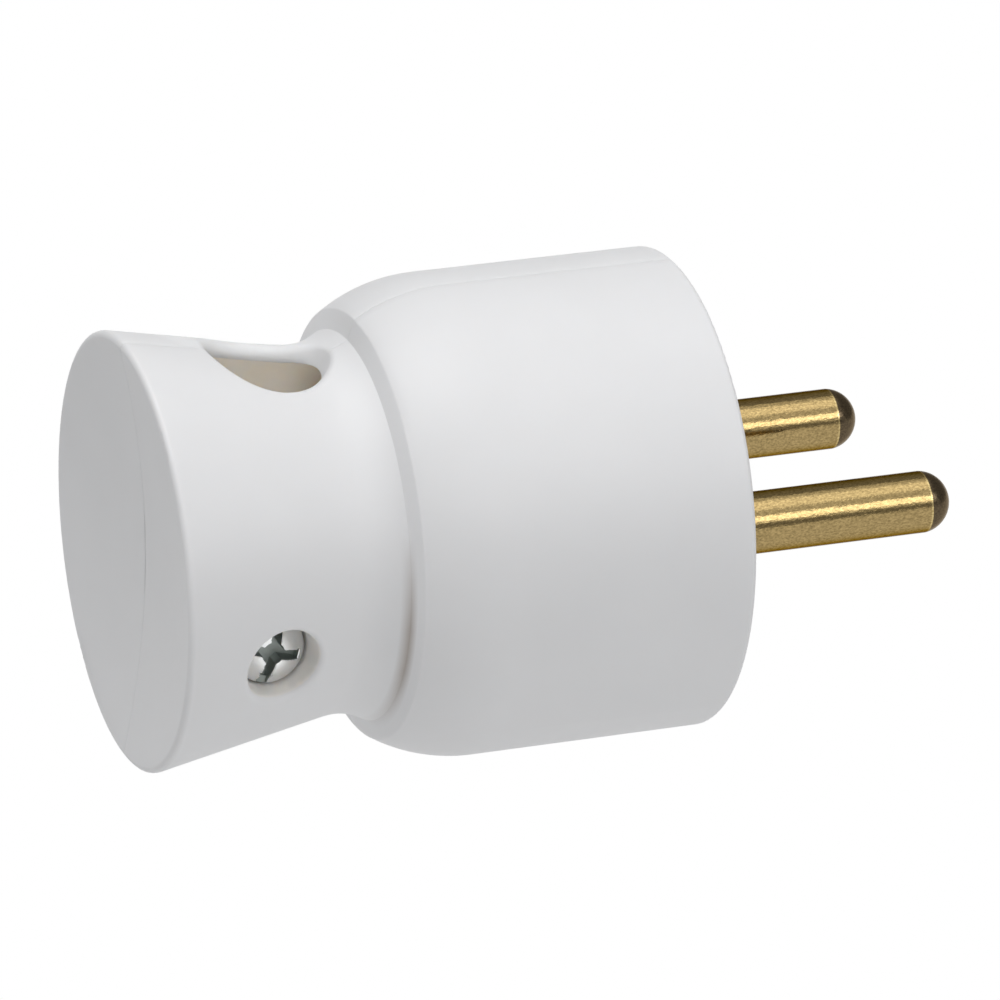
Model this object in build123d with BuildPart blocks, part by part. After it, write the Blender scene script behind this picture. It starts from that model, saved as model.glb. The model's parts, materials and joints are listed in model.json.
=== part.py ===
"""Earthed two-pin plug with a waisted pull handle and a side outlet for its cord.

Two moulded half shells close on the plane y = 0 and trap an insulating carrier with two turned
brass pins and a slotted earth socket. A clamp bar holds the cord below its outlet, and one screw
with a captive nut draws the shells together through the handle.

Frame: +X along the pins with x = 0 on the mating face, +Z towards the cord outlet, the closing
screw is driven from -Y. All lengths are millimetres.
"""

import os
from math import sqrt

from build123d import *

os.makedirs("parts", exist_ok=True)

# Outside of the housing, along the axis from the mating face to the handle's end
drum_radius = 18.65
drum_length = 18.9
rim_radius = 0.5
kink_depth = 25.85
kink_radius = 16.6
step_depth = 26.4
crease_radius = 15.06
flare_start = 30.5
waist_radius = 14.3
body_length = 44.5
end_radius = 17.0
end_dish = 2.0
end_edge_radius = 0.45
kink_rounding = 0.35

# Walls of the two shells
drum_wall = 2.15
handle_wall = 1.4
end_wall = 2.0

# Pins and earth socket of the mains outlet that the plug fits
pin_diameter = 4.8
pin_reach = 19.3
pin_dome = 2.15
pin_spacing = 19.0
earth_offset = 10.0
earth_bore = 4.9

# Insulating carrier: boss flush with the rim, trapped flange, rim and bosses behind
lip_depth = 2.2
lip_radius = 14.2
flange_depth = 2.8
carrier_depth = 8.0
carrier_radius = 14.5
carrier_wall = 1.6
pin_boss_diameter = 10.0
seat_rib_depth = 1.2
key_width = 3.0
key_height = 1.5
catch_width = 6.0
catch_thickness = 1.0
catch_depth = 1.4
seat_clearance = 0.1

# Shanks in the carrier, terminal heads behind it and the web that backs them
shank_diameter = 5.4
collar_diameter = 8.0
collar_depth = 1.5
head_diameter = 7.4
head_depth = 6.0
wire_bore = 3.4
wire_bore_depth = 5.0
terminal_inset = 3.0
terminal_screw_room = 0.7
terminal_slot = 0.7
terminal_slot_depth = 1.0
web_gap = 0.2
web_depth = 1.6
wire_slot = 4.4
wire_window = 10.4
wire_window_floor = 5.5

# Earth socket: slotted sleeve, body that fills the room between carrier and web, tail
earth_recess = 1.5
earth_mouth = 5.6
earth_mouth_bevel = 0.6
sleeve_wall = 1.1
sleeve_slot = 0.6
sleeve_slot_depth = 7.5
sleeve_clearance = 0.1
earth_bore_depth = 14.5
earth_body_diameter = 8.4
earth_tail_diameter = 7.0
earth_tail_depth = 6.5

# Round cord outlet in the handle's top, leaning towards the drum
outlet_back = 32.75
outlet_diameter = 9.7
outlet_lean = 0.55
outlet_lip = 0.9
outlet_sink = 2.2

# Screws and their threads
screw_diameter = 3.0
screw_hole_clearance = 0.4
thread_clearance = 0.03
screw_head_diameter = 5.5
screw_head_height = 2.4
screw_head_crown = 1.3
drive_slot = 0.75
drive_slot_depth = 1.4
drive_cross = 4.4
drive_core = 1.7
drive_cross_depth = 1.8

# Closing screw through the handle, with its captive nut
closing_back = 36.25
closing_drop = 4.65
closing_recess = 6.0
closing_recess_edge = 0.5
closing_head_level = 12.2
closing_length = 18.0
closing_turn = 75
boss_wall = 1.5
nut_width = 5.5
nut_depth = 2.4
nut_level = 5.5
nut_clearance = 0.1

# Cord clamp: bar on two posts, ridges against an anvil rib
clamp_back = 25.5
clamp_width = 5.0
clamp_thickness = 2.2
clamp_level = 2.0
clamp_upper_post = 4.5
clamp_lower_post = -7.5
clamp_ridge = 0.8
clamp_ridge_width = 1.0
clamp_ridge_spacing = 2.4
clamp_ridge_count = 2
clamp_screw_length = 9.0
post_diameter = 5.2
anvil_level = 3.8
anvil_thickness = 1.6

# Sizes that follow from the ones above
drum_inner = drum_radius - drum_wall
neck_inner = waist_radius - handle_wall
handle_slope = (end_radius - waist_radius) / (body_length - flare_start)
pin_offset = pin_spacing / 2
catch_middle = lip_radius + catch_thickness / 2
flange_back = lip_depth + flange_depth
collar_back = carrier_depth + collar_depth
head_back = collar_back + head_depth
web_front = head_back + web_gap
terminal_back = head_back - terminal_inset
terminal_screw_length = drum_inner - pin_offset - wire_bore / 2 - terminal_screw_room
earth_back = head_back + earth_tail_depth
earth_terminal_back = earth_back - terminal_inset
sleeve_diameter = earth_bore + 2 * sleeve_wall
screw_hole = screw_diameter + screw_hole_clearance
thread_hole = screw_diameter + 2 * thread_clearance
outlet_floor = neck_inner - outlet_sink
closing_seat_level = closing_head_level - screw_head_height
closing_boss = closing_recess + 2 * boss_wall
clamp_middle = (clamp_upper_post + clamp_lower_post) / 2
clamp_span = clamp_upper_post - clamp_lower_post
far = 2 * drum_radius


def handle_radius(back):
    """Outside radius of the handle's cone at a distance behind the mating face."""
    return waist_radius + handle_slope * (back - flare_start)


def housing_section():
    """Half section of the housing's outside: x along the axis, y the radius."""
    with BuildSketch() as section:
        with BuildLine():
            dish = TangentArc((end_dish - body_length, 0), (-body_length, end_radius), tangent=(0, 1))
            cone = Line(dish @ 1, (-flare_start, waist_radius))
            flare = TangentArc(cone @ 1, (-step_depth, crease_radius), tangent=cone % 1)
            step = Line(flare @ 1, (-kink_depth, kink_radius))
            shoulder = TangentArc((-drum_length, drum_radius), step @ 1, tangent=(-1, 0))
            Polyline(shoulder @ 0, (0, drum_radius), (0, 0), dish @ 0)
        make_face()
        fillet(section.vertices().sort_by_distance((0, drum_radius))[0], rim_radius)
        fillet(section.vertices().sort_by_distance((-body_length, end_radius))[0], end_edge_radius)
        fillet(section.vertices().sort_by_distance((-kink_depth, kink_radius))[0], kink_rounding)
    return section.sketch


def cavity_section():
    """Half section of the space inside the shells, a wall's thickness inside the outside."""
    inner_end = body_length - end_dish - end_wall
    inner_step = kink_depth - drum_wall
    shoulder_drop = drum_radius - kink_radius
    shoulder_run = kink_depth - drum_length
    inner_shoulder = (shoulder_run**2 + shoulder_drop**2) / (2 * shoulder_drop) - drum_wall
    inner_run = inner_step - drum_length
    inner_kink = drum_inner - inner_shoulder + sqrt(inner_shoulder**2 - inner_run**2)
    with BuildSketch() as section:
        with BuildLine():
            shoulder = TangentArc((-drum_length, drum_inner), (-inner_step, inner_kink), tangent=(-1, 0))
            Polyline(
                shoulder @ 1,
                (-inner_step, neck_inner),
                (-flare_start, neck_inner),
                (-inner_end, handle_radius(inner_end) - handle_wall),
                (-inner_end, 0),
                (0, 0),
                (0, lip_radius),
                (-lip_depth, lip_radius),
                (-lip_depth, drum_inner),
                shoulder @ 0,
            )
        make_face()
    return section.sketch


def pan_screw(length):
    """Pan-head screw along +Z, seat at z = 0, with a slot and a cross recess in its crown."""
    with BuildPart() as screw:
        with BuildSketch(Plane.XZ):
            with BuildLine():
                crown_edge = (screw_head_diameter / 2, screw_head_height - screw_head_crown)
                crown = TangentArc((0, screw_head_height), crown_edge, tangent=(1, 0))
                Polyline(
                    crown @ 1,
                    (screw_head_diameter / 2, 0),
                    (screw_diameter / 2, 0),
                    (screw_diameter / 2, -length),
                    (0, -length),
                    crown @ 0,
                )
            make_face()
        revolve(axis=Axis.Z)
        with BuildSketch(Plane.XY.offset(screw_head_height)):
            Rectangle(screw_head_diameter, drive_slot)
        extrude(amount=-drive_slot_depth, mode=Mode.SUBTRACT)
        with BuildSketch(Plane.XY.offset(screw_head_height)):
            Rectangle(drive_cross, drive_slot)
            Rectangle(drive_slot, drive_cross)
            Circle(drive_core / 2)
        extrude(amount=-drive_cross_depth, mode=Mode.SUBTRACT)
    return screw.part


def terminal_screw():
    """Slotted terminal screw along +Z with its tip at z = 0."""
    with BuildPart() as screw:
        with BuildSketch():
            Circle(screw_diameter / 2)
        extrude(amount=terminal_screw_length)
        with BuildSketch(Plane.XY.offset(terminal_screw_length)):
            Rectangle(screw_diameter, terminal_slot)
        extrude(amount=-terminal_slot_depth, mode=Mode.SUBTRACT)
    return screw.part


# Solid outside form with the cord outlet sunk into it and its lip rounded
with BuildPart() as outside:
    revolve(Plane.XZ * housing_section(), axis=Axis.X)
    with BuildSketch(Plane.XY.offset(outlet_floor)):
        with Locations((-outlet_back - outlet_lean * (waist_radius - outlet_floor), 0)):
            Circle(outlet_diameter / 2)
    extrude(amount=far, dir=(outlet_lean, 0, 1), mode=Mode.SUBTRACT)
    mouth = outside.edges(Select.LAST).filter_by_position(Axis.Z, neck_inner, far)
    fillet(mouth, outlet_lip)

# Space inside the closed shells, left open around the ribs, bosses and posts
with BuildPart() as inside:
    revolve(Plane.XZ * cavity_section(), axis=Axis.X)
    # Rib behind the carrier's flange
    with BuildSketch(Plane.YZ.offset(-flange_back - seat_clearance)):
        Circle(far)
        Circle(carrier_radius + seat_clearance, mode=Mode.SUBTRACT)
    extrude(amount=-seat_rib_depth, mode=Mode.SUBTRACT)
    # Keys that stop the carrier from turning
    with BuildSketch(Plane.YZ.offset(-lip_depth)):
        with Locations((0, drum_inner), (0, -drum_inner)):
            Rectangle(key_width, 2 * key_height)
    extrude(amount=-flange_depth - seat_clearance, mode=Mode.SUBTRACT)
    # Catches behind the lip that hook each shell's front end to the carrier
    with BuildSketch(Plane.YZ.offset(-lip_depth)):
        with Locations((catch_middle, 0), (-catch_middle, 0)):
            Rectangle(catch_thickness, catch_width)
    extrude(amount=-catch_depth, mode=Mode.SUBTRACT)
    # Web behind the terminal heads, with a window and slots for the conductors
    with BuildSketch(Plane.YZ.offset(-web_front)):
        Circle(far)
        with Locations((0, (far - wire_window_floor) / 2)):
            Rectangle(wire_window, far + wire_window_floor, mode=Mode.SUBTRACT)
        SlotCenterToCenter(pin_spacing, wire_slot, mode=Mode.SUBTRACT)
        with Locations((0, -earth_offset)):
            Circle(earth_tail_diameter / 2 + seat_clearance, mode=Mode.SUBTRACT)
    extrude(amount=-web_depth, mode=Mode.SUBTRACT)
    # Boss around the closing screw, from wall to wall
    with BuildSketch(Plane.XZ):
        with Locations((-closing_back, -closing_drop)):
            Circle(closing_boss / 2)
    extrude(amount=far, both=True, mode=Mode.SUBTRACT)
    # Clamp posts and anvil rib in the rear shell
    with BuildSketch(Plane.XZ):
        with Locations((-clamp_back, clamp_upper_post), (-clamp_back, clamp_lower_post)):
            Circle(post_diameter / 2)
    extrude(amount=-far, mode=Mode.SUBTRACT)
    with BuildSketch(Plane.XZ.offset(-anvil_level)):
        with Locations((-clamp_back, clamp_middle)):
            Rectangle(anvil_thickness, clamp_span)
    extrude(amount=-far, mode=Mode.SUBTRACT)

# Front shell: recess and hole for the closing screw
with BuildPart() as front_shell:
    add(outside.part)
    add(inside.part, mode=Mode.SUBTRACT)
    split(bisect_by=Plane.XZ, keep=Keep.TOP)
    with BuildSketch(Plane.XZ):
        with Locations((-closing_back, -closing_drop)):
            Circle(screw_hole / 2)
    extrude(amount=far, mode=Mode.SUBTRACT)
    with BuildSketch(Plane.XZ.offset(closing_seat_level)):
        with Locations((-closing_back, -closing_drop)):
            Circle(closing_recess / 2)
    extrude(amount=far, mode=Mode.SUBTRACT)
    recess_edge = front_shell.edges(Select.LAST).sort_by(Axis.Y)[0]
    fillet(recess_edge, closing_recess_edge)

# Rear shell: hexagonal pocket for the captive nut, clamp posts
with BuildPart() as rear_shell:
    add(outside.part)
    add(inside.part, mode=Mode.SUBTRACT)
    split(bisect_by=Plane.XZ, keep=Keep.BOTTOM)
    with BuildSketch(Plane.XZ):
        with Locations((-closing_back, -closing_drop)):
            Circle(screw_hole / 2)
    extrude(amount=-far, mode=Mode.SUBTRACT)
    with BuildSketch(Plane.XZ.offset(-nut_level)):
        with Locations((-closing_back, -closing_drop)):
            RegularPolygon(nut_width / 2 + nut_clearance, side_count=6, major_radius=False)
    extrude(amount=-far, mode=Mode.SUBTRACT)
    with BuildSketch(Plane.XZ.offset(clamp_level)):
        with Locations((-clamp_back, clamp_upper_post), (-clamp_back, clamp_lower_post)):
            Circle(post_diameter / 2)
    extrude(amount=-clamp_level)
    with BuildSketch(Plane.XZ.offset(clamp_level)):
        with Locations((-clamp_back, clamp_upper_post), (-clamp_back, clamp_lower_post)):
            Circle(thread_hole / 2)
    extrude(amount=-clamp_screw_length, mode=Mode.SUBTRACT)

# Insulating carrier, moulded with bosses behind a face plate
with BuildPart() as pin_carrier:
    with BuildSketch(Plane.YZ):
        Circle(lip_radius - seat_clearance)
    extrude(amount=-flange_back)
    with BuildSketch(Plane.YZ.offset(-lip_depth)):
        Circle(drum_inner - seat_clearance)
    extrude(amount=-flange_depth)
    with BuildSketch(Plane.YZ.offset(-lip_depth)):
        with Locations((0, drum_inner), (0, -drum_inner)):
            Rectangle(key_width + 2 * seat_clearance, 2 * (key_height + seat_clearance))
    extrude(amount=-flange_depth, mode=Mode.SUBTRACT)
    with BuildSketch(Plane.YZ.offset(-lip_depth)):
        with Locations((catch_middle, 0), (-catch_middle, 0)):
            Rectangle(catch_thickness + 2 * seat_clearance, catch_width + 2 * seat_clearance)
    extrude(amount=-catch_depth - seat_clearance, mode=Mode.SUBTRACT)
    with BuildSketch(Plane.YZ.offset(-flange_back)):
        Circle(carrier_radius)
        Circle(carrier_radius - carrier_wall, mode=Mode.SUBTRACT)
        with Locations((pin_offset, 0), (-pin_offset, 0), (0, -earth_offset)):
            Circle(pin_boss_diameter / 2)
        Circle(carrier_radius, mode=Mode.INTERSECT)
    extrude(amount=flange_back - carrier_depth)
    with BuildSketch(Plane.YZ):
        with Locations((pin_offset, 0), (-pin_offset, 0)):
            Circle((shank_diameter + seat_clearance) / 2)
        with Locations((0, -earth_offset)):
            Circle(earth_mouth / 2)
    extrude(amount=-carrier_depth, mode=Mode.SUBTRACT)
    with BuildSketch(Plane.YZ.offset(-earth_recess)):
        with Locations((0, -earth_offset)):
            Circle((sleeve_diameter + sleeve_clearance) / 2)
    extrude(amount=-carrier_depth, mode=Mode.SUBTRACT)
    face_edges = pin_carrier.faces().sort_by(Axis.X)[-1].edges()
    earth_edge = face_edges.sort_by_distance((0, 0, -earth_offset - earth_mouth / 2))[0]
    chamfer(earth_edge, earth_mouth_bevel)


def brass_pin(side):
    """Turned pin with a domed tip, a shank in the carrier, a collar behind it and a bored head."""
    axis_place = Plane.XZ.offset(-side * pin_offset)
    with BuildPart() as pin:
        with BuildSketch(axis_place):
            with BuildLine():
                radius = pin_diameter / 2
                dome = TangentArc((pin_reach, 0), (pin_reach - pin_dome, radius), tangent=(0, 1))
                Polyline(
                    dome @ 1,
                    (0, radius),
                    (0, shank_diameter / 2),
                    (-carrier_depth, shank_diameter / 2),
                    (-carrier_depth, collar_diameter / 2),
                    (-collar_back, collar_diameter / 2),
                    (-collar_back, head_diameter / 2),
                    (-head_back, head_diameter / 2),
                    (-head_back, 0),
                    dome @ 0,
                )
            make_face()
        revolve(axis=Axis((0, side * pin_offset, 0), (1, 0, 0)))
        with BuildSketch(Plane.YZ.offset(-head_back)):
            with Locations((side * pin_offset, 0)):
                Circle(wire_bore / 2)
        extrude(amount=wire_bore_depth, mode=Mode.SUBTRACT)
        with BuildSketch(axis_place):
            with Locations((-terminal_back, 0)):
                Circle(thread_hole / 2)
        extrude(amount=-side * head_diameter, mode=Mode.SUBTRACT)
    return pin.part


# Pins, alike on both sides of the parting plane
with BuildPart() as live_pin:
    add(brass_pin(-1))

with BuildPart() as neutral_pin:
    add(brass_pin(1))

# Earth socket: slotted sleeve in the carrier, body against the web, bored tail
with BuildPart() as earth_contact:
    with BuildSketch(Plane.XZ):
        with BuildLine():
            Polyline(
                (-earth_recess, -earth_offset),
                (-earth_recess, sleeve_diameter / 2 - earth_offset),
                (-carrier_depth, sleeve_diameter / 2 - earth_offset),
                (-carrier_depth, earth_body_diameter / 2 - earth_offset),
                (-head_back, earth_body_diameter / 2 - earth_offset),
                (-head_back, earth_tail_diameter / 2 - earth_offset),
                (-earth_back, earth_tail_diameter / 2 - earth_offset),
                (-earth_back, -earth_offset),
                close=True,
            )
        make_face()
    revolve(axis=Axis((0, 0, -earth_offset), (1, 0, 0)))
    with BuildSketch(Plane.YZ.offset(-earth_recess)):
        with Locations((0, -earth_offset)):
            Circle(earth_bore / 2)
    extrude(amount=-earth_bore_depth, mode=Mode.SUBTRACT)
    with BuildSketch(Plane.YZ.offset(-earth_recess)):
        with Locations((0, -earth_offset)):
            Rectangle(2 * sleeve_diameter, sleeve_slot)
    extrude(amount=-sleeve_slot_depth, mode=Mode.SUBTRACT)
    with BuildSketch(Plane.YZ.offset(-earth_back)):
        with Locations((0, -earth_offset)):
            Circle(wire_bore / 2)
    extrude(amount=wire_bore_depth, mode=Mode.SUBTRACT)
    with BuildSketch(Plane.XZ):
        with Locations((-earth_terminal_back, -earth_offset)):
            Circle(thread_hole / 2)
    extrude(amount=earth_tail_diameter, mode=Mode.SUBTRACT)

# Terminal screws, backed out to the edge of the wire bores
with BuildPart() as terminal_screws:
    tip = wire_bore / 2
    live_place = Plane((-terminal_back, -pin_offset - tip, 0), z_dir=(0, -1, 0))
    neutral_place = Plane((-terminal_back, pin_offset + tip, 0), z_dir=(0, 1, 0))
    earth_place = Plane((-earth_terminal_back, -tip, -earth_offset), z_dir=(0, -1, 0))
    with Locations(live_place, neutral_place, earth_place):
        add(terminal_screw())

# Clamp bar on the posts, ridges towards the anvil
with BuildPart() as cord_clamp:
    with BuildSketch(Plane.XZ.offset(clamp_level)):
        with Locations((-clamp_back, clamp_middle)):
            SlotCenterToCenter(clamp_span, clamp_width, rotation=90)
        with Locations((-clamp_back, clamp_upper_post), (-clamp_back, clamp_lower_post)):
            Circle(screw_hole / 2, mode=Mode.SUBTRACT)
    extrude(amount=clamp_thickness)
    with BuildSketch(Plane.XZ.offset(clamp_level)):
        with Locations((-clamp_back, clamp_middle)):
            with GridLocations(clamp_ridge_spacing, 0, clamp_ridge_count, 1):
                Rectangle(clamp_ridge_width, clamp_span - post_diameter - clamp_ridge)
    extrude(amount=-clamp_ridge)

with BuildPart(Plane.XZ.offset(clamp_level + clamp_thickness)) as cord_clamp_screws:
    with Locations((-clamp_back, clamp_upper_post), (-clamp_back, clamp_lower_post)):
        add(pan_screw(clamp_screw_length))

# Closing screw and its captive nut
with BuildPart(Plane.XZ.offset(closing_seat_level)) as closing_screw:
    with Locations((-closing_back, -closing_drop)):
        add(pan_screw(closing_length), rotation=(0, 0, closing_turn))

with BuildPart() as closing_nut:
    with BuildSketch(Plane.XZ.offset(-nut_level)):
        with Locations((-closing_back, -closing_drop)):
            RegularPolygon(nut_width / 2, side_count=6, major_radius=False)
            Circle(thread_hole / 2, mode=Mode.SUBTRACT)
    extrude(amount=-nut_depth)

nodes = {
    "front_shell": front_shell,
    "rear_shell": rear_shell,
    "pin_carrier": pin_carrier,
    "live_pin": live_pin,
    "neutral_pin": neutral_pin,
    "earth_contact": earth_contact,
    "terminal_screws": terminal_screws,
    "cord_clamp": cord_clamp,
    "cord_clamp_screws": cord_clamp_screws,
    "closing_screw": closing_screw,
    "closing_nut": closing_nut,
}
for name, node in nodes.items():
    node.part.label = name
    export_step(node.part, f"parts/{name}.step")
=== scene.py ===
"""Looks of the earthed plug: moulded half shells, brass pins and a plated closing screw in soft studio light.

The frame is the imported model's own, in metres: +X along the pins, +Z towards the cord outlet, and the
closing screw is driven from -Y.
"""

import json

import bmesh
import bpy
import numpy as np
from mathutils import Matrix, Vector


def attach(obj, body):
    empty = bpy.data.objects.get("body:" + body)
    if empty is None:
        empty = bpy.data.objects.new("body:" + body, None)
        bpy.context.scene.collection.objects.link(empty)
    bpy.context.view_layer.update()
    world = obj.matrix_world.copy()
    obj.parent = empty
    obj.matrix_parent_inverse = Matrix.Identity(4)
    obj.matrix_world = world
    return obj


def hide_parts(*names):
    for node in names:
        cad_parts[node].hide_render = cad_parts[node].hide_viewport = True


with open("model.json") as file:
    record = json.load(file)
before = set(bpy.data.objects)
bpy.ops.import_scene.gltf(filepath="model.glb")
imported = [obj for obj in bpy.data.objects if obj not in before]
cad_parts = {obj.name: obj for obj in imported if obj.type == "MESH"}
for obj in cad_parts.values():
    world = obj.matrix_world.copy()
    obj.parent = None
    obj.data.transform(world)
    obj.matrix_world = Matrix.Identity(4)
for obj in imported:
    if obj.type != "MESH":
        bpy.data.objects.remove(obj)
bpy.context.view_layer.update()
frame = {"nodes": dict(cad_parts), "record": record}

MM = 0.001

# Camera: a long lens from the left and above, fitted to the outlines of drum, handle and pins
VIEW_AZIMUTH = -20.114
VIEW_ELEVATION = 21.368
VIEW_ROLL = 0.575
VIEW_DISTANCE = 597.85 * MM
VIEW_TARGET = Vector((-13.94 * MM, 0.0, 0.48 * MM))
LENS_MM = 279.96
SENSOR_MM = 36.0
CLIP_START = 0.01
CLIP_END = 20.0

# Smoothing of the moulded and turned surfaces, and the easing of their sharp edges
MERGE_DISTANCE = 0.0005 * MM
SMOOTH_ANGLE = np.radians(28.0)
EASE_ANGLE = np.radians(4.0)
EASE_SEGMENTS = 3
ROUND_PROFILE = 0.5

# Housing: places along its axis, and the outer and the inner radius there
HOUSING_BACK = np.array([-44.5, -30.5, -26.4, -25.85, -18.9, 0.0]) * MM
HOUSING_RADIUS = np.array([17.0, 14.3, 15.06, 16.6, 18.65, 18.65]) * MM
CAVITY_BACK = np.array([-40.5, -30.5, -23.7, -18.9, 0.0]) * MM
CAVITY_RADIUS = np.array([14.83, 12.9, 12.9, 16.5, 16.5]) * MM

# Inner walls: how far past the cavity's radius they still count, and where they end behind and in front
CAVITY_SKIN = 0.005 * MM
INNER_END = -41.5 * MM
INNER_FRONT = -2.0 * MM

# Parting line: how far in from the housing's outside its edge counts, and how far it is eased
PARTING_SKIN = 0.6 * MM
PARTING_EASE = 0.08 * MM

# Crease behind the drum: its place and radius, and how far from it and at which heights its painted shade
# shows
CREASE = (-26.4 * MM, 15.06 * MM, 0.0)
PAINTED_SHADE_REACH = 0.8 * MM
PAINTED_SHADE_LEVEL = -5.0 * MM
PAINTED_SHADE_CORE = 2.0 * MM
PAINTED_SHADE_END = 9.5 * MM
PAINTED_SHADE_TONE = "#b7b0aa"

# Thin edge of the housing behind the cord's outlet: its middle, and how far from there light goes deep and
# painted light makes the tone paler
THIN_EDGE = (-34.5 * MM, 4.5 * MM, 13.5 * MM)
THIN_CORE = 4.5 * MM
THIN_END = 7.0 * MM

# Pins: where their domes start and how far that shoulder is eased
SHOULDER_REACH = 17.15 * MM
SHOULDER_EASE = 0.07 * MM

# Closing screw: its axis, the rooms that shells leave round it, its head, and the crown and recess of that
SCREW_AXIS = np.array([-36.25, -4.65]) * MM
RECESS_ROOM = 3.1 * MM
SCREW_ROOM = 3.3 * MM
RECESS_FLOOR = 9.5 * MM
HEAD_RADIUS = 2.65 * MM
HEAD_SEAT = -10.2 * MM
CROWN_RADIUS = 3.559 * MM
CROWN_MIDDLE = np.array([-36.25, -8.641, -4.65]) * MM
CROWN_SKIN = 0.03 * MM
RECESS_SKIN = 0.1 * MM
RECESS_EASE = 0.24 * MM

# Plastics: grain of the mould, which is finer on a real one and drawn so coarse to show, and clouds of tone
PLASTIC_IOR = 1.5
PLASTIC_GLOSS = (0.48, 0.58)
PLASTIC_CLOUD = 8.0 * MM
SATIN_GRAIN = 0.4 * MM
SATIN_DEPTH = 0.03 * MM
MATT_GRAIN = 0.5 * MM
MATT_DEPTH = 0.04 * MM

# Metals: sandy spots and ripples of the brass, longer along the pins, and the mottle of the plating
BRASS_STRETCH = (0.6, 1.0, 1.0)
BRASS_SAND = 0.13 * MM
SAND_RANGE = (0.3, 0.7)
BRASS_RIPPLE = 0.24 * MM
RIPPLE_DEPTH = 0.03 * MM
PLATING_MOTTLE = 0.5 * MM
MOTTLE_DEPTH = 0.05 * MM

# Studio: floor far below the object, light of the world, power of the lamps and brightness of the flags
WHITE = (1.0, 1.0, 1.0, 1.0)
FLOOR_LEVEL = -0.12
FLOOR_HALF = 3.0
FILL = 0.275
FILL_COLOUR = (0.98, 0.99, 1.0, 1.0)
FRONT_POWER = 2.15
TOP_POWER = 1.09
LEFT_POWER = 3.12
FLAG_LEVEL = 0.33


def linear(hex_colour):
    """Linear RGBA of an sRGB hex colour."""
    srgb = np.array([int(hex_colour[i : i + 2], 16) for i in (1, 3, 5)]) / 255.0
    rgb = np.where(srgb <= 0.04045, srgb / 12.92, ((srgb + 0.055) / 1.055) ** 2.4)
    return (*rgb.tolist(), 1.0)


def add_node(tree, kind, links=None, values=None, **settings):
    """A shader node with its settings, its constant inputs and its incoming links."""
    node = tree.nodes.new(kind)
    for name, value in settings.items():
        setattr(node, name, value)
    for name, value in (values or {}).items():
        node.inputs[name].default_value = value
    for name, socket in (links or {}).items():
        tree.links.new(socket, node.inputs[name])
    return node


def empty_material(name):
    """A material with an empty node tree, and that tree."""
    material = bpy.data.materials.new(name)
    material.use_nodes = True
    tree = material.node_tree
    tree.nodes.clear()
    return material, tree


def noise(tree, vector, size, detail=3.0, roughness=0.6):
    """Noise whose spots are about as large as the size, in metres."""
    values = {"Scale": 1 / size, "Detail": detail, "Roughness": roughness}
    return add_node(tree, "ShaderNodeTexNoise", {"Vector": vector}, values)


def relief(tree, pattern, strength, depth):
    """Bump of a noise pattern, with its depth in metres."""
    values = {"Strength": strength, "Distance": depth}
    return add_node(tree, "ShaderNodeBump", {"Height": pattern.outputs["Fac"]}, values)


def moulded_plastic(name, tones, spread, share, reach):
    """White thermoplastic from a satin mould: soft gloss, faint grain, and light goes some way into it.

    Share is how much light goes in, reach how far, and spread how much of that way red, green and blue go.
    Returned are the material and the nodes of its coordinates, its tone and its shader.
    """
    material, tree = empty_material(name)
    place = add_node(tree, "ShaderNodeTexCoord")
    grain = noise(tree, place.outputs["Object"], SATIN_GRAIN)
    bump = relief(tree, grain, 0.06, SATIN_DEPTH)
    cloud = noise(tree, place.outputs["Object"], PLASTIC_CLOUD, detail=2.0, roughness=0.5)
    tone = add_node(tree, "ShaderNodeMix", {"Factor": cloud.outputs["Fac"]},
                    {"A": linear(tones[0]), "B": linear(tones[1])}, data_type="RGBA")
    gloss = add_node(tree, "ShaderNodeMapRange", {"Value": grain.outputs["Fac"]},
                     {"To Min": PLASTIC_GLOSS[0], "To Max": PLASTIC_GLOSS[1]})
    shader = add_node(tree, "ShaderNodeBsdfPrincipled",
                      {"Normal": bump.outputs["Normal"], "Base Color": tone.outputs["Result"],
                       "Roughness": gloss.outputs["Result"]},
                      {"IOR": PLASTIC_IOR, "Subsurface Radius": spread, "Subsurface Weight": share,
                       "Subsurface Scale": reach})
    add_node(tree, "ShaderNodeOutputMaterial", {"Surface": shader.outputs["BSDF"]})
    return material, place, tone, shader


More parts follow.
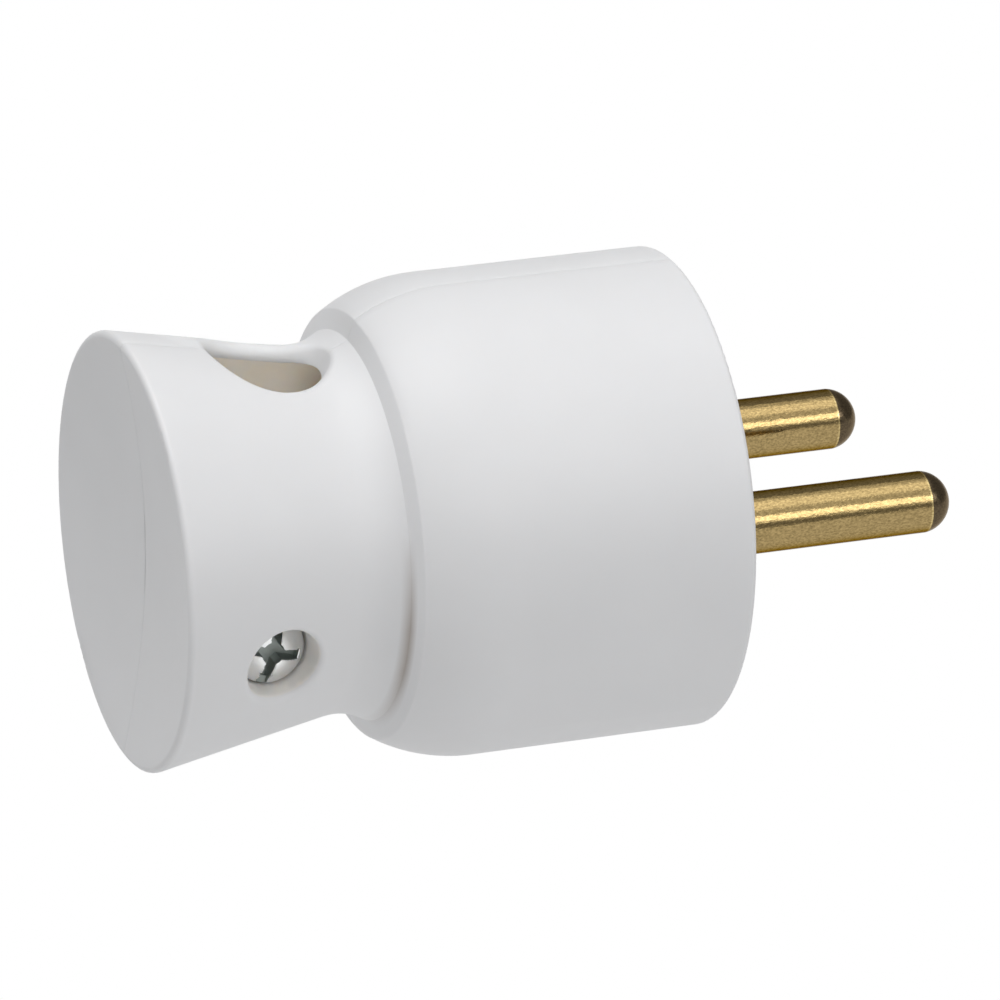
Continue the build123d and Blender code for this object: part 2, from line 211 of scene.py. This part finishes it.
def housing_plastic_painted_light_and_shade(name, tones, spread, share, reach):
    """Moulded plastic of the housing's outside, with painted light and painted shade on it.

    Share and reach are pairs: at the thin edge behind the cord's outlet, where the third tone is painted
    light, and elsewhere. The painted shade is a brownish tone in the lower half of the crease behind the
    drum.
    """
    material, place, tone, shader = moulded_plastic(name, tones[:2], spread, share[1], reach[1])
    tree = material.node_tree
    edge = add_node(tree, "ShaderNodeVectorMath", {0: place.outputs["Object"]}, {1: THIN_EDGE},
                    operation="DISTANCE")
    # The third map fades in painted light: the paler third tone near the thin edge
    weight, scale, painted_light_fade = [
        add_node(tree, "ShaderNodeMapRange", {"Value": edge.outputs["Value"]},
                 {"From Min": THIN_CORE, "From Max": THIN_END, "To Min": pair[0], "To Max": pair[1]})
        for pair in (share, reach, (1.0, 0.0))
    ]
    tone_with_painted_light = add_node(tree, "ShaderNodeMix", {"Factor": painted_light_fade.outputs["Result"], "A": tone.outputs["Result"]},
                    {"B": linear(tones[2])}, data_type="RGBA")
    parts = add_node(tree, "ShaderNodeSeparateXYZ", {"Vector": place.outputs["Object"]})
    across = add_node(tree, "ShaderNodeVectorMath", {0: place.outputs["Object"]}, {1: (0.0, 1.0, 1.0)},
                      operation="MULTIPLY")
    radius = add_node(tree, "ShaderNodeVectorMath", {0: across.outputs["Vector"]}, operation="LENGTH")
    profile = add_node(tree, "ShaderNodeCombineXYZ", {"X": parts.outputs["X"], "Y": radius.outputs["Value"]})
    crease = add_node(tree, "ShaderNodeVectorMath", {0: profile.outputs["Vector"]}, {1: CREASE},
                      operation="DISTANCE")
    # Painted shade: a brownish tone mixed in near the crease, strongest around the given height
    near = add_node(tree, "ShaderNodeMapRange", {"Value": crease.outputs["Value"]},
                    {"From Max": PAINTED_SHADE_REACH, "To Min": 1.0, "To Max": 0.0})
    above = add_node(tree, "ShaderNodeMath", {0: parts.outputs["Z"]}, {1: PAINTED_SHADE_LEVEL}, operation="SUBTRACT")
    off_level = add_node(tree, "ShaderNodeMath", {0: above.outputs["Value"]}, operation="ABSOLUTE")
    low = add_node(tree, "ShaderNodeMapRange", {"Value": off_level.outputs["Value"]},
                   {"From Min": PAINTED_SHADE_CORE, "From Max": PAINTED_SHADE_END, "To Min": 1.0, "To Max": 0.0})
    painted_crease_shade = add_node(tree, "ShaderNodeMath", {0: near.outputs["Result"], 1: low.outputs["Result"]},
                    operation="MULTIPLY")
    tone_with_painted_shade = add_node(tree, "ShaderNodeMix", {"Factor": painted_crease_shade.outputs["Value"], "A": tone_with_painted_light.outputs["Result"]},
                    {"B": linear(PAINTED_SHADE_TONE)}, data_type="RGBA")
    tree.links.new(tone_with_painted_shade.outputs["Result"], shader.inputs["Base Color"])
    tree.links.new(weight.outputs["Result"], shader.inputs["Subsurface Weight"])
    tree.links.new(scale.outputs["Result"], shader.inputs["Subsurface Scale"])
    return material


def matt_plastic(name, tone, roughness):
    """Filled thermoplastic of the inner mouldings: matt and a little warmer than the housing."""
    material, tree = empty_material(name)
    place = add_node(tree, "ShaderNodeTexCoord")
    bump = relief(tree, noise(tree, place.outputs["Object"], MATT_GRAIN), 0.1, MATT_DEPTH)
    shader = add_node(tree, "ShaderNodeBsdfPrincipled", {"Normal": bump.outputs["Normal"]},
                      {"Base Color": linear(tone), "Roughness": roughness, "IOR": PLASTIC_IOR})
    add_node(tree, "ShaderNodeOutputMaterial", {"Surface": shader.outputs["BSDF"]})
    return material


def turned_brass(name, tones, roughness, edge):
    """Turned and tumbled brass: warm metal with a sandy grain that breaks up the edges of its reflections."""
    material, tree = empty_material(name)
    place = add_node(tree, "ShaderNodeTexCoord")
    drawn = add_node(tree, "ShaderNodeMapping", {"Vector": place.outputs["Object"]}, {"Scale": BRASS_STRETCH})
    sand = noise(tree, drawn.outputs["Vector"], BRASS_SAND, detail=2.0)
    spots = add_node(tree, "ShaderNodeMapRange", {"Value": sand.outputs["Fac"]},
                     {"From Min": SAND_RANGE[0], "From Max": SAND_RANGE[1]})
    tone = add_node(tree, "ShaderNodeMix", {"Factor": spots.outputs["Result"]},
                    {"A": linear(tones[0]), "B": linear(tones[1])}, data_type="RGBA")
    bump = relief(tree, noise(tree, drawn.outputs["Vector"], BRASS_RIPPLE), 0.5, RIPPLE_DEPTH)
    shader = add_node(tree, "ShaderNodeBsdfPrincipled",
                      {"Normal": bump.outputs["Normal"], "Base Color": tone.outputs["Result"]},
                      {"Metallic": 1.0, "Roughness": roughness, "Specular Tint": linear(edge)})
    add_node(tree, "ShaderNodeOutputMaterial", {"Surface": shader.outputs["BSDF"]})
    return material


def plated_steel(name, tone, roughness):
    """Zinc plating on a pressed screw: bright and a little uneven. Called with a darker tone, it gives
    painted shade in the drive recess.
    """
    material, tree = empty_material(name)
    place = add_node(tree, "ShaderNodeTexCoord")
    mottle = noise(tree, place.outputs["Object"], PLATING_MOTTLE, roughness=0.5)
    bump = relief(tree, mottle, 0.3, MOTTLE_DEPTH)
    shader = add_node(tree, "ShaderNodeBsdfPrincipled", {"Normal": bump.outputs["Normal"]},
                      {"Base Color": linear(tone), "Metallic": 1.0, "Roughness": roughness})
    add_node(tree, "ShaderNodeOutputMaterial", {"Surface": shader.outputs["BSDF"]})
    return material


def off_axis(points):
    """Distances of points from the plug's axis."""
    return np.hypot(points[:, 1], points[:, 2])


def off_screw(points):
    """Distances of points from the closing screw's axis."""
    return np.hypot(*(points[:, ::2] - SCREW_AXIS).T)


def inner_wall(points):
    """Which points lie on the inner walls: within the cavity, and not at the recess of the screw or nut."""
    inside = off_axis(points) < np.interp(points[:, 0], CAVITY_BACK, CAVITY_RADIUS) + CAVITY_SKIN
    at_recess = (off_screw(points) < SCREW_ROOM) & (np.abs(points[:, 1]) > RECESS_FLOOR)
    return inside & (points[:, 0] > INNER_END) & (points[:, 0] < INNER_FRONT) & ~at_recess


def recess_wall(points):
    """Which points lie on the wall of the recess for the closing screw."""
    return (off_screw(points) < RECESS_ROOM) & (points[:, 1] < HEAD_SEAT)


def parting_edge(points):
    """Which points lie on the outside edge of the plane that parts the shells."""
    skin = np.interp(points[:, 0], HOUSING_BACK, HOUSING_RADIUS) - PARTING_SKIN
    outside = (off_axis(points) > skin) | (points[:, 0] < INNER_END) | (points[:, 0] > -MERGE_DISTANCE)
    return (np.abs(points[:, 1]) < MERGE_DISTANCE) & outside


def below_crown(points):
    """How far points of the screw's head lie inside the sphere of its crown."""
    return CROWN_RADIUS - np.linalg.norm(points - CROWN_MIDDLE, axis=1)


def in_head(points):
    """Which points lie inside the rim of the closing screw's head and in front of its seat."""
    return (off_screw(points) < HEAD_RADIUS) & (points[:, 1] < HEAD_SEAT)


def drive_recess(points):
    """Which points lie on the walls and the floor of the drive recess."""
    return in_head(points) & (below_crown(points) > RECESS_SKIN)


def recess_edge(points):
    """Which points lie on the edge of the drive recess."""
    return in_head(points) & (below_crown(points) < CROWN_SKIN)


def pin_shoulder(points):
    """Which points lie on the circle where a pin's dome starts."""
    return np.abs(points[:, 0] - SHOULDER_REACH) < MERGE_DISTANCE


def pin_edge(points):
    """Which points lie on the eased shoulder of a pin."""
    return np.abs(points[:, 0] - SHOULDER_REACH) < SHOULDER_EASE


def pin_tip(points):
    """Which points lie on a pin's dome, in front of the eased shoulder."""
    return points[:, 0] > SHOULDER_REACH + SHOULDER_EASE


def smooth_copy(node, name, material, eased, zones):
    """The CAD node's own surface with its loose triangles merged and smooth shading between sharp edges.

    Eased holds pairs of a test and a width: sharp edges whose ends pass the test are rounded by the width.
    Zones holds pairs of a test and a material: faces whose middles pass take it, and a later zone wins.
    """
    mesh = frame["nodes"][node].data.copy()
    mesh.name = name
    if mesh.has_custom_normals:
        mesh.attributes.remove(mesh.attributes["custom_normal"])
    shape = bmesh.new()
    shape.from_mesh(mesh)
    bmesh.ops.remove_doubles(shape, verts=shape.verts, dist=MERGE_DISTANCE)
    for test, width in eased:
        sharp = [edge for edge in shape.edges if edge.calc_face_angle(0.0) > EASE_ANGLE]
        ends = np.array([[end.co for end in edge.verts] for edge in sharp])
        chosen = [sharp[i] for i in np.flatnonzero(test(ends[:, 0]) & test(ends[:, 1]))]
        bmesh.ops.bevel(shape, geom=chosen, offset=width, offset_type="OFFSET", segments=EASE_SEGMENTS,
                        profile=ROUND_PROFILE, affect="EDGES", clamp_overlap=False)
    bmesh.ops.dissolve_degenerate(shape, dist=MERGE_DISTANCE, edges=shape.edges)
    shape.to_mesh(mesh)
    shape.free()
    mesh.shade_smooth()
    mesh.set_sharp_from_angle(angle=SMOOTH_ANGLE)
    mesh.materials.clear()
    mesh.materials.append(material)
    middles = np.empty(3 * len(mesh.polygons))
    mesh.polygons.foreach_get("center", middles)
    middles = middles.reshape(-1, 3)
    index = np.zeros(len(middles), dtype=np.int32)
    for test, zone_material in zones:
        index[test(middles)] = len(mesh.materials)
        mesh.materials.append(zone_material)
    mesh.polygons.foreach_set("material_index", index)
    piece = bpy.data.objects.new(name, mesh)
    bpy.context.scene.collection.objects.link(piece)
    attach(piece, "root")
    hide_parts(node)


def white_to_sight(tree, other, shader, output):
    """White for camera, glossy and transmitted rays, and the other shader for the light that it gives."""
    path = add_node(tree, "ShaderNodeLightPath")
    direct = add_node(tree, "ShaderNodeMath",
                      {0: path.outputs["Is Camera Ray"], 1: path.outputs["Is Glossy Ray"]},
                      operation="MAXIMUM")
    seen = add_node(tree, "ShaderNodeMath",
                    {0: direct.outputs["Value"], 1: path.outputs["Is Transmission Ray"]},
                    operation="MAXIMUM")
    white = add_node(tree, shader, values={"Color": WHITE, "Strength": 1.0})
    both = add_node(tree, "ShaderNodeMixShader",
                    {0: seen.outputs["Value"], 1: other.outputs[0], 2: white.outputs[0]})
    add_node(tree, output, {"Surface": both.outputs["Shader"]})


def card(name, corners, material):
    """A flat four-cornered piece of the studio."""
    mesh = bpy.data.meshes.new(name)
    mesh.from_pydata(corners, [], [(0, 1, 2, 3)])
    mesh.materials.append(material)
    sheet = bpy.data.objects.new(name, mesh)
    bpy.context.scene.collection.objects.link(sheet)
    return sheet


def toward(azimuth, elevation):
    """Unit vector from the object: azimuth from -Y towards +X and elevation above the floor, in degrees."""
    turn, rise = np.radians([azimuth, elevation])
    return Vector((np.sin(turn) * np.cos(rise), -np.cos(turn) * np.cos(rise), np.sin(rise)))


def softbox(name, azimuth, elevation, distance, size, power):
    """An area lamp that looks at the object's middle."""
    lamp = bpy.data.lights.new(name, "AREA")
    lamp.shape = "RECTANGLE"
    lamp.size, lamp.size_y = size
    lamp.energy = power
    box = bpy.data.objects.new(name, lamp)
    bpy.context.scene.collection.objects.link(box)
    away = toward(azimuth, elevation)
    box.location = VIEW_TARGET + away * distance
    box.rotation_euler = away.to_track_quat("Z", "Y").to_euler()


def flag(name, azimuth, elevation, distance, size, material):
    """A grey cloth on a frame that faces the object. Only reflections show it."""
    away = toward(azimuth, elevation)
    across = Vector((-away.y, away.x, 0.0)).normalized() * (size[0] / 2)
    rise = away.cross(across).normalized() * (size[1] / 2)
    middle = VIEW_TARGET + away * distance
    corners = [middle + across * i + rise * j for i, j in ((-1, -1), (1, -1), (1, 1), (-1, 1))]
    cloth = card(name, corners, material)
    cloth.visible_camera = False
    cloth.visible_diffuse = False
    cloth.visible_shadow = False


# Plastics: the outside of the shells, with painted light near the outlet and painted shade in the crease, the
# screw's recess, which light shines through, and the lit inside, whose light comes partly through the wall
# and partly from a brighter, warmer tone that is painted light
plastic = housing_plastic_painted_light_and_shade("satin_white_thermoplastic", ("#e4e4e5", "#e9e9ea", "#f8f8f9"),
                          spread=(1.0, 0.94, 0.88), share=(1.0, 0.25), reach=(3.5 * MM, 0.5 * MM))
thin_plastic = moulded_plastic("translucent_white_thermoplastic", ("#e9e7e4", "#edebe8"),
                               spread=(1.0, 0.88, 0.74), share=0.6, reach=1.5 * MM)[0]
# Inside: deep subsurface light, and a brighter, warmer base tone than the outside that is painted light
inner_plastic = moulded_plastic("backlit_white_thermoplastic", ("#fff8ec", "#fffbf2"),
                                spread=(1.0, 0.75, 0.52), share=1.0, reach=15.0 * MM)[0]
filled = matt_plastic("matt_filled_thermoplastic", "#dedbd4", roughness=0.55)

# Metals: the pins' shanks, the painted highlight at their shoulders and the painted dark reflection on their
# domes, then the screws, with painted shade in the drive recess
brass = turned_brass("turned_brass", ("#84714a", "#b59d6c"), roughness=0.1, edge="#a09080")
# Painted highlight: a lighter brass on the eased shoulder ring
brass_painted_highlight = turned_brass("brass_edge_painted_highlight", ("#a9925f", "#d8c38e"), roughness=0.2, edge="#a09080")
# Painted dark reflection: a much darker brass on the domes
brass_painted_dark_reflection = turned_brass("brass_dome_painted_dark_reflection", ("#4a3f33", "#675a45"), roughness=0.25, edge="#f0e6d8")
steel = plated_steel("zinc_plated_steel", "#f9fafa", roughness=0.48)
# Painted shade: a darker steel for the drive recess
steel_painted_shade = plated_steel("steel_recess_painted_shade", "#a2a8a5", roughness=0.5)

# Pieces that stand for CAD nodes
shell_edges = [(parting_edge, PARTING_EASE)]
shell_zones = [(recess_wall, thin_plastic), (inner_wall, inner_plastic)]
for shell in ("front_shell", "rear_shell"):
    smooth_copy(shell, f"{shell}_moulding", plastic, shell_edges, shell_zones)
pin_edges = [(pin_shoulder, SHOULDER_EASE)]
# Zones: painted highlight on the shoulder ring, painted dark reflection on the dome
pin_zones = [(pin_edge, brass_painted_highlight), (pin_tip, brass_painted_dark_reflection)]
for pin in ("live_pin", "neutral_pin"):
    smooth_copy(pin, f"{pin}_turned", brass, pin_edges, pin_zones)
# The drive recess takes the steel with painted shade
smooth_copy("closing_screw", "closing_screw_plated", steel, [(recess_edge, RECESS_EASE)],
            [(drive_recess, steel_painted_shade)])

# Finishes of the CAD nodes that stay
finishes = {"housing": plastic, "carrier": filled, "clamp": filled, "pins": brass, "contacts": brass,
            "screws": steel}
for row in frame["record"]["subparts"]:
    mesh = frame["nodes"][row["node"]].data
    mesh.materials.clear()
    mesh.materials.append(finishes[row["material_slot"]])

# Floor, so far below the object that its shadow falls outside the picture
floor_paint, tree = empty_material("pale_floor_paint")
white_to_sight(tree, add_node(tree, "ShaderNodeBsdfDiffuse", values={"Color": linear("#e8e8e8")}),
               "ShaderNodeEmission", "ShaderNodeOutputMaterial")
card("studio_floor", [(-FLOOR_HALF, -FLOOR_HALF, FLOOR_LEVEL), (FLOOR_HALF, -FLOOR_HALF, FLOOR_LEVEL),
                      (FLOOR_HALF, FLOOR_HALF, FLOOR_LEVEL), (-FLOOR_HALF, FLOOR_HALF, FLOOR_LEVEL)],
     floor_paint)

# World
world = bpy.data.worlds.new("studio_world")
bpy.context.scene.world = world
world.use_nodes = True
tree = world.node_tree
tree.nodes.clear()
sky = add_node(tree, "ShaderNodeBackground", values={"Color": FILL_COLOUR, "Strength": FILL})
white_to_sight(tree, sky, "ShaderNodeBackground", "ShaderNodeOutputWorld")

# Lamps, and grey flags that give the bright metal something to reflect
softbox("front_softbox", azimuth=20, elevation=29.5, distance=0.8, size=(1.1, 0.24), power=FRONT_POWER)
softbox("top_softbox", azimuth=60, elevation=78, distance=0.8, size=(0.6, 0.6), power=TOP_POWER)
softbox("left_softbox", azimuth=-100, elevation=71, distance=0.8, size=(0.5, 0.5), power=LEFT_POWER)
flag_cloth, tree = empty_material("grey_flag_cloth")
cloth_glow = add_node(tree, "ShaderNodeEmission", values={"Color": WHITE, "Strength": FLAG_LEVEL})
add_node(tree, "ShaderNodeOutputMaterial", {"Surface": cloth_glow.outputs["Emission"]})
flag("rear_flag", azimuth=180, elevation=30, distance=0.7, size=(2.4, 0.9), material=flag_cloth)
flag("right_flag", azimuth=95, elevation=22, distance=0.7, size=(0.9, 0.7), material=flag_cloth)
flag("low_flag", azimuth=18, elevation=6, distance=0.95, size=(1.6, 0.24), material=flag_cloth)

# Camera
azimuth, roll = np.radians([VIEW_AZIMUTH, VIEW_ROLL])
back = toward(VIEW_AZIMUTH, VIEW_ELEVATION)
level_right = Vector((np.cos(azimuth), np.sin(azimuth), 0.0))
level_up = back.cross(level_right)
right = level_right * np.cos(roll) + level_up * np.sin(roll)
up = level_up * np.cos(roll) - level_right * np.sin(roll)
lens = bpy.data.cameras.new("photo_camera")
lens.lens = LENS_MM
lens.sensor_width = SENSOR_MM
lens.clip_start = CLIP_START
lens.clip_end = CLIP_END
camera = bpy.data.objects.new("photo_camera", lens)
bpy.context.scene.collection.objects.link(camera)
turn = Matrix((right, up, back)).transposed().to_4x4()
camera.matrix_world = Matrix.Translation(VIEW_TARGET + back * VIEW_DISTANCE) @ turn
bpy.context.scene.camera = camera

bpy.context.scene.view_settings.view_transform = "Standard"
